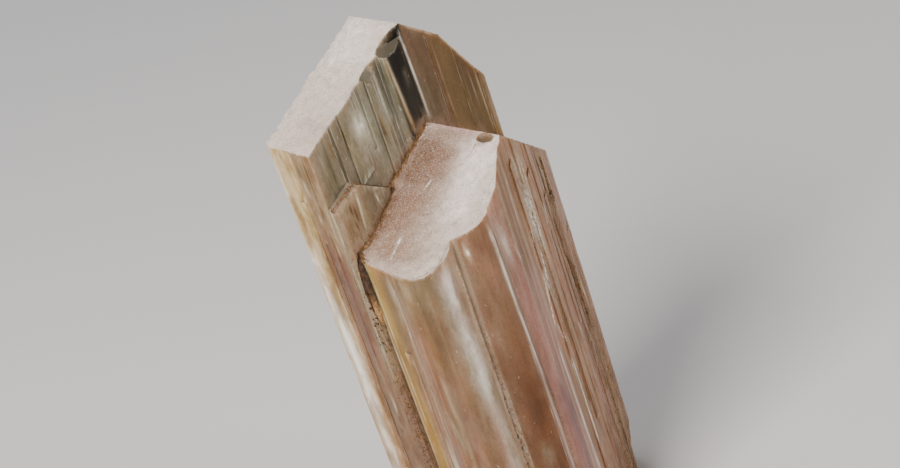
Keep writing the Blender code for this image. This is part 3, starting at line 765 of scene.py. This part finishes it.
def paint_crystal(mesh):
    """Store the colours and masks that the crystal's finish reads."""
    places = plan_places(mesh)
    zones, outward = zone_colours(places)
    upward = np.zeros_like(places)
    upward[:, 2] = 1.0

    # Each corner takes the paint of an end face or of a prism face, so that neither runs over the edge.
    corner, on_end = face_corners(mesh)
    prism = brushed(places, outward, zones[:, :4], STROKES)
    ends = brushed(places, upward, np.tile((*FROST, 0.0), (len(places), 1)), END_STROKES)
    body = np.where(on_end[:, None], ends[corner], prism[corner])
    colours = mesh.attributes.new("body", "FLOAT_COLOR", "CORNER")
    values = np.hstack([body[:, :3], np.ones((len(body), 1))])
    colours.data.foreach_set("color", values.astype(np.float32).ravel())
    # The milkiness carries real milky patches and the painted highlights of the white and glare strokes.
    add_attribute(mesh, "milk_and_glare", body[:, 3], "CORNER")
    add_attribute(mesh, "pale_lined", zones[:, 4])
    add_attribute(mesh, "dark_lined", zones[:, 5])
    tables = {"bead_glints": BEADED_GLINTS, "pepper": PEPPERED, "cracks": CRACKS, "scratches": SCRATCHED, "stain": RUSTY}
    for name, rows in tables.items():
        on_prism = strongest_stroke(places, outward, rows)[corner]
        mask = np.where(on_end, strongest_stroke(places, upward, rows)[corner], on_prism)
        if name == "stain":
            for path, reach, strength in STAINED:
                mask = np.maximum(mask, strength * closeness(mesh, path, reach)[corner])
        add_attribute(mesh, name, mask, "CORNER")


def build_crystal():
    """The crystal as one closed mesh, painted."""
    mesh = crystal_mesh()
    mesh.shade_smooth()
    mesh.set_sharp_from_angle(angle=SHADED_SHARP)
    paint_crystal(mesh)
    return add_object("crystal", mesh)


# ---------------------------------------------------------------- clay and crumbs in the seams

rng = random.Random(4127)

# The seam's clay is nearly black at the top, orange round one height and plain brown below.
ORANGE_HEIGHT = 38.2
ORANGE_REACH = 1.3
CLAY_TONE = 0.35
CLAY_RELIEF = 0.18 * MM
LUMPS_PER_MM = 1.6

# How far a crumb is lifted out of the surface, as a share of its size, and the steps along its seam.
CRUMB_LIFT = 0.1
CRUMB_STEP = 0.25

# Crumbs: seam, spread about it, smallest and largest size, how many, and how orange they are.
CRUMB_RUNS = (
    (CONTACT, 0.18, 0.04, 0.16, 1000, 0.35),
    (LEDGE, 0.16, 0.04, 0.14, 260, 0.30),
    (LEFT_SEAM[:3], 0.30, 0.03, 0.16, 220, 0.10),
    (LEFT_SEAM[2:], 0.40, 0.03, 0.14, 420, 0.25),
    (RIGHT_GROOVE, 0.14, 0.03, 0.09, 260, 0.8),
    (UPPER_SLOT, 0.13, 0.03, 0.11, 420, 0.60),
    (LOWER_SLOT, 0.10, 0.03, 0.10, 520, 0.50),
    (SLOT_FOOT, 0.28, 0.03, 0.09, 420, 0.55),
)


def crumb_shape():
    """A faceted ball of radius 1: its corners, and its sides as corner numbers."""
    bm = bmesh.new()
    bmesh.ops.create_icosphere(bm, subdivisions=1, radius=1.0)
    corners = [vert.co.copy() for vert in bm.verts]
    sides = [[vert.index for vert in face.verts] for face in bm.faces]
    bm.free()
    return corners, sides


def add_crumb(bm, shape, place_at, size):
    """One crumb: a small faceted ball, squashed and dented at random. Returns its faces."""
    corners, sides = shape
    squash = Vector((rng.uniform(0.6, 1.3), rng.uniform(0.6, 1.3), rng.uniform(0.6, 1.6)))
    turn = Matrix.Rotation(rng.uniform(0.0, math.tau), 3, Vector((rng.random(), rng.random(), 1.0)))
    verts = []
    for corner in corners:
        dented = corner * size * squash * rng.uniform(0.6, 1.2)
        verts.append(bm.verts.new(turn @ dented + place_at))
    return [bm.faces.new([verts[index] for index in side]) for side in sides]


def build_crumbs(crystal):
    """Crumbs of clay and crust on the crystal's surface, along its seams."""
    polygons = [tuple(face.vertices) for face in crystal.data.polygons]
    surface = bvhtree.BVHTree.FromPolygons([vert.co for vert in crystal.data.vertices], polygons)
    shape = crumb_shape()
    bm = bmesh.new()
    tone = bm.faces.layers.float.new("tone")
    for path, spread, small, large, count, orange in CRUMB_RUNS:
        samples = along(path, CRUMB_STEP)
        for _ in range(count):
            drift = Vector([rng.gauss(0.0, spread) for _ in range(3)]) * MM
            found, normal, _, _ = surface.find_nearest(rng.choice(samples) + drift)
            size = rng.triangular(small, large, small) * MM
            made = add_crumb(bm, shape, found + normal * size * CRUMB_LIFT, size)
            shade = orange * rng.uniform(0.5, 1.5)
            for face in made:
                face[tone] = shade
    return add_object("seam_crumbs", mesh_of(bm, "seam_crumbs"))


def build_seam_clay():
    """The clay packed in the left seam: the plain lump with a crumbly surface."""
    bm = bmesh.new()
    bm.from_mesh(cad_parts["seam_clay"].data)
    bmesh.ops.remove_doubles(bm, verts=bm.verts, dist=1e-6)
    bmesh.ops.subdivide_edges(bm, edges=bm.edges, cuts=3, use_grid_fill=True)
    bmesh.ops.triangulate(bm, faces=bm.faces)
    bm.normal_update()
    places = [vert.co / MM * LUMPS_PER_MM for vert in bm.verts]
    moves = [noise.fractal(spot, *LUMP_FRACTAL) * CLAY_RELIEF for spot in places]
    normals = [vert.normal.copy() for vert in bm.verts]
    tone = bm.verts.layers.float.new("tone")
    for vert, normal, move in zip(bm.verts, normals, moves):
        above = (vert.co.z - CORNER.z) / MM - ORANGE_HEIGHT
        vert[tone] = math.exp(-((above / ORANGE_REACH) ** 2)) + CLAY_TONE * (above < 0.0)
        vert.co += normal * move
    mesh = mesh_of(bm, "seam_clay_fill")
    mesh.shade_smooth()
    return add_object("seam_clay_fill", mesh)


# ---------------------------------------------------------------- finishes


def put(tree, kind, inputs=None, **settings):
    """Add a node. An input given as a socket is linked, and any other is set as a value."""
    node = tree.nodes.new(kind)
    for name, value in settings.items():
        setattr(node, name, value)
    for name, value in (inputs or {}).items():
        if isinstance(value, bpy.types.NodeSocket):
            tree.links.new(value, node.inputs[name])
        else:
            node.inputs[name].default_value = value
    return node


def attribute(tree, name, output="Fac"):
    """A mask or colour stored on the mesh."""
    return put(tree, "ShaderNodeAttribute", attribute_name=name).outputs[output]


def combined(tree, operation, first, *others):
    """Several values put together by one operation of the Math node."""
    for other in others:
        first = put(tree, "ShaderNodeMath", {0: first, 1: other}, operation=operation).outputs[0]
    return first


def product(tree, *shares):
    """Several masks multiplied together."""
    return combined(tree, "MULTIPLY", *shares)


def strongest(tree, *shares):
    """The largest of several masks."""
    return combined(tree, "MAXIMUM", *shares)


def blend_colours(tree, share, a, b, kind="MIX"):
    """Colour a turned towards colour b by a share."""
    node = put(tree, "ShaderNodeMix", data_type="RGBA", blend_type=kind)
    for socket, value in ((node.inputs[0], share), (node.inputs[6], a), (node.inputs[7], b)):
        if isinstance(value, bpy.types.NodeSocket):
            tree.links.new(value, socket)
        else:
            socket.default_value = value
    return node.outputs[2]


def laid_over(tree, colour, layers):
    """A colour with others laid over it in turn, each by its own share."""
    for share, paint in layers:
        colour = blend_colours(tree, share, colour, paint)
    return colour


def ranged(tree, value, low, high, to_low=0.0, to_high=1.0):
    """A value mapped from one range to another, held at its ends."""
    inputs = {"Value": value, "From Min": low, "From Max": high, "To Min": to_low, "To Max": to_high}
    return put(tree, "ShaderNodeMapRange", inputs, interpolation_type="SMOOTHSTEP").outputs[0]


def rgb(red, green, blue):
    """An opaque colour for a socket."""
    return (red, green, blue, 1.0)


def grain_group():
    """Grain: a noise pattern per millimetre, which may be drawn out along the crystals' length."""
    tree = bpy.data.node_groups.new("Grain", "ShaderNodeTree")
    for name, value in (("Across", 1.0), ("Along", 1.0), ("Detail", 3.0), ("Low", 0.3), ("High", 0.7)):
        tree.interface.new_socket(name, in_out="INPUT", socket_type="NodeSocketFloat").default_value = value
    tree.interface.new_socket("Offset", in_out="INPUT", socket_type="NodeSocketVector")
    tree.interface.new_socket("Mask", in_out="OUTPUT", socket_type="NodeSocketFloat")
    given = put(tree, "NodeGroupInput").outputs
    spot = put(tree, "ShaderNodeTexCoord").outputs["Object"]
    across = product(tree, given["Across"], 1.0 / MM)
    length = product(tree, given["Along"], 1.0 / MM)
    scale = put(tree, "ShaderNodeCombineXYZ", {0: across, 1: across, 2: length}).outputs[0]
    inputs = {"Vector": spot, "Location": given["Offset"], "Scale": scale}
    stretched = put(tree, "ShaderNodeMapping", inputs).outputs[0]
    inputs = {"Vector": stretched, "Scale": 1.0, "Detail": given["Detail"], "Roughness": 0.6}
    cloudy = put(tree, "ShaderNodeTexNoise", inputs).outputs["Fac"]
    mask = ranged(tree, cloudy, given["Low"], given["High"])
    tree.links.new(mask, put(tree, "NodeGroupOutput").inputs["Mask"])
    return tree


GRAIN = grain_group()


def grain(tree, across, along_z, detail, low, high, offset=0.0):
    """A Grain group in a material, with its own values."""
    inputs = {"Across": across, "Along": along_z, "Detail": detail, "Low": low, "High": high}
    node = put(tree, "ShaderNodeGroup", node_tree=GRAIN)
    for name, value in inputs.items():
        node.inputs[name].default_value = value
    node.inputs["Offset"].default_value = (offset, offset * 1.7, offset * 0.6)
    return node.outputs["Mask"]


def blank_material(name):
    """A material with only its output node."""
    material = bpy.data.materials.new(name)
    material.use_nodes = True
    tree = material.node_tree
    tree.nodes.clear()
    return material, tree, put(tree, "ShaderNodeOutputMaterial")


# Grain masks of the crystal: fineness per millimetre across and along it, detail, the limits between
# which the mask rises from 0 to 1, and where the pattern is taken.
CRYSTAL_GRAINS = {
    "patches": (0.5, 0.10, 3.0, 0.42, 0.62, 21.0),
    "pale_lines": (3.4, 0.10, 1.0, 0.62, 0.72, 0.0),
    "dark_lines": (2.8, 0.10, 1.0, 0.62, 0.70, 3.0),
    "depths": (0.32, 0.14, 3.0, 0.30, 0.70, 5.0),
    "streaks": (0.6, 0.07, 2.0, 0.40, 0.70, 14.0),
    "clouds": (0.7, 0.22, 5.0, 0.42, 0.62, 8.0),
    "glints": (3.2, 1.0, 2.0, 0.70, 0.75, 12.0),
    "specks": (3.4, 2.2, 3.0, 0.66, 0.70, 2.0),
    "chipped": (2.0, 0.35, 4.0, 0.35, 0.6, 7.0),
    "bead_glints": (6.0, 2.2, 3.0, 0.42, 0.52, 23.0),
    "grit": (3.4, 2.2, 3.0, 0.53, 0.60, 27.0),
    "earth": (1.0, 0.3, 4.0, 0.30, 0.65, 29.0),
    "dust": (5.0, 3.2, 3.0, 0.42, 0.66, 37.0),
    "soot": (5.0, 5.0, 2.0, 0.60, 0.66, 35.0),
    "cracks": (3.0, 3.0, 3.0, 0.36, 0.50, 31.0),
    "scratches": (3.0, 3.0, 3.0, 0.36, 0.52, 33.0),
    "dirt": (1.8, 0.7, 5.0, 0.36, 0.56, 9.0),
    "etched": (1.1, 1.1, 5.0, 0.3, 0.7, 4.0),
    "sparkle": (7.0, 7.0, 2.0, 0.48, 0.64, 6.0),
}
GRIT_BROWN = rgb(0.055, 0.025, 0.010)


def crystal_masks(tree):
    """The masks of the crystal's finish: what is stored on the mesh, broken up by grain."""
    stored = ("frost", "broken", "milk_and_glare", "ridge", "furrow", "stain", "pepper", "bead_glints", "cracks", "scratches")
    mask = {name: attribute(tree, name) for name in stored}
    grains = {name: grain(tree, *values) for name, values in CRYSTAL_GRAINS.items()}
    for name in ("bead_glints", "cracks", "scratches"):
        mask[name] = product(tree, mask[name], grains[name])
    mask["grit"] = product(tree, mask["pepper"], grains["grit"])
    mask["earth"] = product(tree, mask["pepper"], grains["earth"])
    mask["dirt"] = product(tree, mask["stain"], grains["dirt"])
    mask["pale"] = product(tree, grains["pale_lines"], grains["patches"], attribute(tree, "pale_lined"))
    mask["dark"] = product(tree, grains["dark_lines"], grains["patches"], attribute(tree, "dark_lined"))
    mask["hollow"] = product(tree, mask["furrow"], 0.32)
    return {**grains, **mask}


def clear_shader(tree, mask, body):
    """The see-through part of the crystal, tinted by zone, lined and stained, with painted shade on its
    breaks and painted light in its furrows, pale lines and beads.
    """
    tint = blend_colours(tree, mask["depths"], body, rgb(0.62, 0.56, 0.48), "MULTIPLY")
    hue = blend_colours(tree, mask["streaks"], rgb(0.94, 0.95, 0.84), rgb(1.0, 0.87, 0.80))
    tint = blend_colours(tree, 1.0, tint, hue, "MULTIPLY")
    # Furrows are painted a paler tan and, in the frosted share, matte: painted light that lifts the shade
    # inside them.
    tint = blend_colours(tree, mask["hollow"], tint, rgb(0.40, 0.31, 0.23))
    dusty = blend_colours(tree, 1.0, tint, rgb(0.84, 0.82, 0.78), "MULTIPLY")
    layers = (
        (mask["dust"], dusty),
        # Break faces painted nearly black: painted shade against the light their tilt catches, so chips read
        # as dark glass.
        (product(tree, mask["broken"], 0.9), rgb(0.07, 0.055, 0.025)),
        (product(tree, mask["dark"], 0.6), rgb(0.12, 0.07, 0.025)),
        # Pale striae, partly painted highlights along them.
        (product(tree, mask["pale"], 0.5), rgb(0.86, 0.74, 0.54)),
        (product(tree, mask["specks"], 0.5), rgb(0.10, 0.06, 0.03)),
        # Beads painted nearly white: beaded striae with painted glints on them.
        (mask["bead_glints"], rgb(1.0, 0.93, 0.82)),
        (product(tree, mask["earth"], 0.8), rgb(0.36, 0.18, 0.045)),
        (mask["dirt"], rgb(0.26, 0.11, 0.03)),
        (mask["grit"], GRIT_BROWN),
    )
    relief = combined(tree, "ADD", mask["pale"], mask["bead_glints"])
    relief = combined(tree, "SUBTRACT", relief, mask["dark"])
    grooves = put(tree, "ShaderNodeBump", {"Strength": 0.35, "Distance": 0.0001, "Height": relief})
    soiled = strongest(tree, mask["dirt"], mask["grit"], mask["earth"])
    roughening = ((mask["clouds"], 0.12), (soiled, 0.5), (mask["broken"], 0.4))
    inputs = {
        "Base Color": laid_over(tree, tint, layers),
        "Roughness": combined(tree, "ADD", 0.08, *(product(tree, share, by) for share, by in roughening)),
        "IOR": 1.50,
        "Specular IOR Level": 0.02,
        "Transmission Weight": 0.42,
        "Subsurface Weight": 1.0,
        "Subsurface Radius": (1.0, 0.62, 0.38),
        "Subsurface Scale": 0.004,
        "Normal": grooves.outputs[0],
    }
    return put(tree, "ShaderNodeBsdfPrincipled", inputs)


def frosted_shader(tree, mask, body):
    """The frosted end faces, and whatever is milky, worn, soiled or painted pale as a highlight on the sides.
    """
    matte = blend_colours(tree, mask["etched"], rgb(0.76, 0.73, 0.72), rgb(1.06, 1.06, 1.06))
    matte = blend_colours(tree, 1.0, body, matte, "MULTIPLY")
    end_layers = (
        (product(tree, mask["sparkle"], 0.30), rgb(0.98, 0.92, 0.89)),
        (product(tree, mask["specks"], 0.75), rgb(0.20, 0.14, 0.10)),
        (product(tree, mask["soot"], 0.6), rgb(0.14, 0.095, 0.070)),
        (mask["scratches"], rgb(0.98, 0.96, 0.93)),
    )
    # On the sides: a milky cream, then the beads painted white as glints.
    side_layers = ((0.22, rgb(0.92, 0.86, 0.76)), (mask["bead_glints"], rgb(1.0, 0.95, 0.86)))
    layers = (
        (mask["frost"], laid_over(tree, matte, end_layers)),
        (mask["cracks"], rgb(0.12, 0.07, 0.03)),
        (mask["dirt"], rgb(0.15, 0.062, 0.020)),
        (mask["grit"], GRIT_BROWN),
    )
    pitted = put(tree, "ShaderNodeBump", {"Strength": 0.5, "Distance": 0.00008, "Height": mask["sparkle"]})
    inputs = {
        "Base Color": laid_over(tree, laid_over(tree, body, side_layers), layers),
        "Roughness": ranged(tree, mask["sparkle"], 0.0, 1.0, 0.55, 0.28),
        "IOR": 1.66,
        "Transmission Weight": 0.12,
        "Normal": pitted.outputs[0],
    }
    return put(tree, "ShaderNodeBsdfPrincipled", inputs)


def crystal_material():
    """Glassy, striated and tinted by zone, with frosted end faces and brown stain in the seams."""
    material, tree, output = blank_material("spodumene")
    mask = crystal_masks(tree)
    body = attribute(tree, "body", "Color")
    clear = clear_shader(tree, mask, body)
    frosted = frosted_shader(tree, mask, body)
    # Besides frost, real milkiness, wear and dirt, the frosted share lays on painted light: highlights in the
    # white and glare strokes, pale edges, lightened furrows, pale lines, glints and beads.
    frosted_share = strongest(
        tree,
        mask["frost"],
        product(tree, mask["broken"], 0.12),
        product(tree, mask["milk_and_glare"], strongest(tree, mask["clouds"], ranged(tree, mask["milk_and_glare"], 0.72, 0.94))),
        product(tree, mask["ridge"], mask["chipped"], 0.8),
        mask["hollow"],
        product(tree, strongest(tree, mask["pale"], mask["glints"]), 0.5),
        product(tree, mask["grit"], 0.7),
        mask["bead_glints"],
        mask["dirt"],
    )
    both = put(tree, "ShaderNodeMixShader", {0: frosted_share, 1: clear.outputs[0], 2: frosted.outputs[0]})
    tree.links.new(both.outputs[0], output.inputs["Surface"])
    depth = put(tree, "ShaderNodeVolumeAbsorption", {"Color": rgb(0.62, 0.46, 0.37), "Density": 120.0})
    tree.links.new(depth.outputs[0], output.inputs["Volume"])
    return material


def clay_material():
    """Dry brown clay: orange or nearly black by the tone stored on each piece, with paler grit on the orange.
    """
    material, tree, output = blank_material("clay")
    lumps = grain(tree, 2.4, 2.4, 5.0, 0.34, 0.66)
    grit = grain(tree, 6.0, 6.0, 3.0, 0.4, 0.65, 2.0)
    tone = attribute(tree, "tone")
    dark = blend_colours(tree, lumps, rgb(0.012, 0.006, 0.004), rgb(0.085, 0.038, 0.014))
    orange = blend_colours(tree, lumps, rgb(0.22, 0.09, 0.025), rgb(0.50, 0.26, 0.09))
    colour = blend_colours(tree, tone, dark, orange)
    colour = blend_colours(tree, product(tree, grit, tone, 0.5), colour, rgb(0.60, 0.38, 0.18))
    rough = put(tree, "ShaderNodeBump", {"Strength": 0.8, "Distance": 0.00012, "Height": grit})
    roughness = ranged(tree, grit, 0.0, 1.0, 0.95, 0.75)
    inputs = {"Base Color": colour, "Roughness": roughness, "Normal": rough.outputs[0]}
    earth = put(tree, "ShaderNodeBsdfPrincipled", inputs)
    tree.links.new(earth.outputs[0], output.inputs["Surface"])
    return material


def floor_material():
    """Matt pale paper."""
    material, tree, output = blank_material("studio_floor")
    paper = put(tree, "ShaderNodeBsdfPrincipled", {"Base Color": rgb(0.55, 0.55, 0.56), "Roughness": 0.9})
    tree.links.new(paper.outputs[0], output.inputs["Surface"])
    return material


# ---------------------------------------------------------------- floor, light and camera

FLOOR_HALF_WIDTH = 1.5
FLOOR_GAP = 0.1 * MM

# Square soft lights: name, way from the specimen to the light, distance, size, power and tint.
LIGHTS = (
    ("key", (-1.0, -0.25, 0.95), 0.34, 0.14, 2.3, (1.0, 0.94, 0.86)),
    ("back", (0.05, 0.75, 0.75), 0.50, 0.30, 1.2, (0.97, 0.97, 1.0)),
    ("fill", (0.55, -1.0, 0.35), 0.42, 0.16, 1.2, (1.0, 0.92, 0.82)),
)


def add_floor():
    """A wide pale floor just under the specimen's base."""
    bm = bmesh.new()
    bmesh.ops.create_grid(bm, x_segments=1, y_segments=1, size=FLOOR_HALF_WIDTH)
    floor = add_object("studio_floor", mesh_of(bm, "studio_floor"))
    floor.location.z = CRYSTAL_LOW.z - FLOOR_GAP
    floor.data.materials.append(floor_material())


def add_lights():
    """The lights, each facing the middle of the specimen."""
    low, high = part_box("spodumene_crystal")
    for name, direction, distance, size, power, tint in LIGHTS:
        data = bpy.data.lights.new(name, "AREA")
        data.size, data.energy, data.color = size, power, tint
        light = add_object(name, data)
        aim = Vector(direction).normalized()
        light.location = (low + high) / 2 + aim * distance
        light.rotation_mode = "QUATERNION"
        light.rotation_quaternion = aim.to_track_quat("Z", "Y")


def add_world():
    """Even grey studio surroundings."""
    world = bpy.data.worlds.new("studio")
    world.use_nodes = True
    background = world.node_tree.nodes["Background"]
    background.inputs["Color"].default_value = rgb(0.40, 0.41, 0.43)
    background.inputs["Strength"].default_value = 0.35
    bpy.context.scene.world = world


def add_camera():
    """The camera, turned to the left, looking down and rolled so that the crystals lean."""
    data = bpy.data.cameras.new("camera")
    data.sensor_width = 36.0
    data.lens = FOCAL_PIXELS / FRAME_WIDTH * data.sensor_width
    data.clip_start, data.clip_end = 0.01, 10.0
    sine, cosine = math.sin(VIEW_AZIMUTH), math.cos(VIEW_AZIMUTH)
    low, level = math.sin(VIEW_ELEVATION), math.cos(VIEW_ELEVATION)
    back = Vector((-sine * level, -cosine * level, low))
    right = Vector((cosine, -sine, 0.0))
    up = Vector((low * sine, low * cosine, level))
    side = right * math.cos(VIEW_ROLL) - up * math.sin(VIEW_ROLL)
    top = right * math.sin(VIEW_ROLL) + up * math.cos(VIEW_ROLL)
    across = (SHOULDER_PIXEL[0] - FRAME_WIDTH / 2) / FOCAL_PIXELS * SHOULDER_DISTANCE
    above = (FRAME_HEIGHT / 2 - SHOULDER_PIXEL[1]) / FOCAL_PIXELS * SHOULDER_DISTANCE
    shoulder = place((0.0, 0.0, SHOULDER_HEIGHT))
    spot = shoulder - side * across - top * above + back * SHOULDER_DISTANCE
    turned = Matrix((side, top, back)).transposed().to_4x4()
    camera = add_object("camera", data)
    camera.matrix_world = Matrix.Translation(spot) @ turned
    bpy.context.scene.camera = camera


# ---------------------------------------------------------------- assembly


def main():
    """The crystal, the clay in its seam and the crumbs along its seams, lit on a floor."""
    crystal = build_crystal()
    crystal.data.materials.append(crystal_material())
    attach(crystal, "root")
    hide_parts("spodumene_crystal")

    clay = clay_material()
    fill = build_seam_clay()
    crumbs = build_crumbs(crystal)
    for piece in (fill, crumbs):
        piece.data.materials.append(clay)
        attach(piece, "root")
    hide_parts("seam_clay")

    add_floor()
    add_world()
    add_lights()
    add_camera()


main()
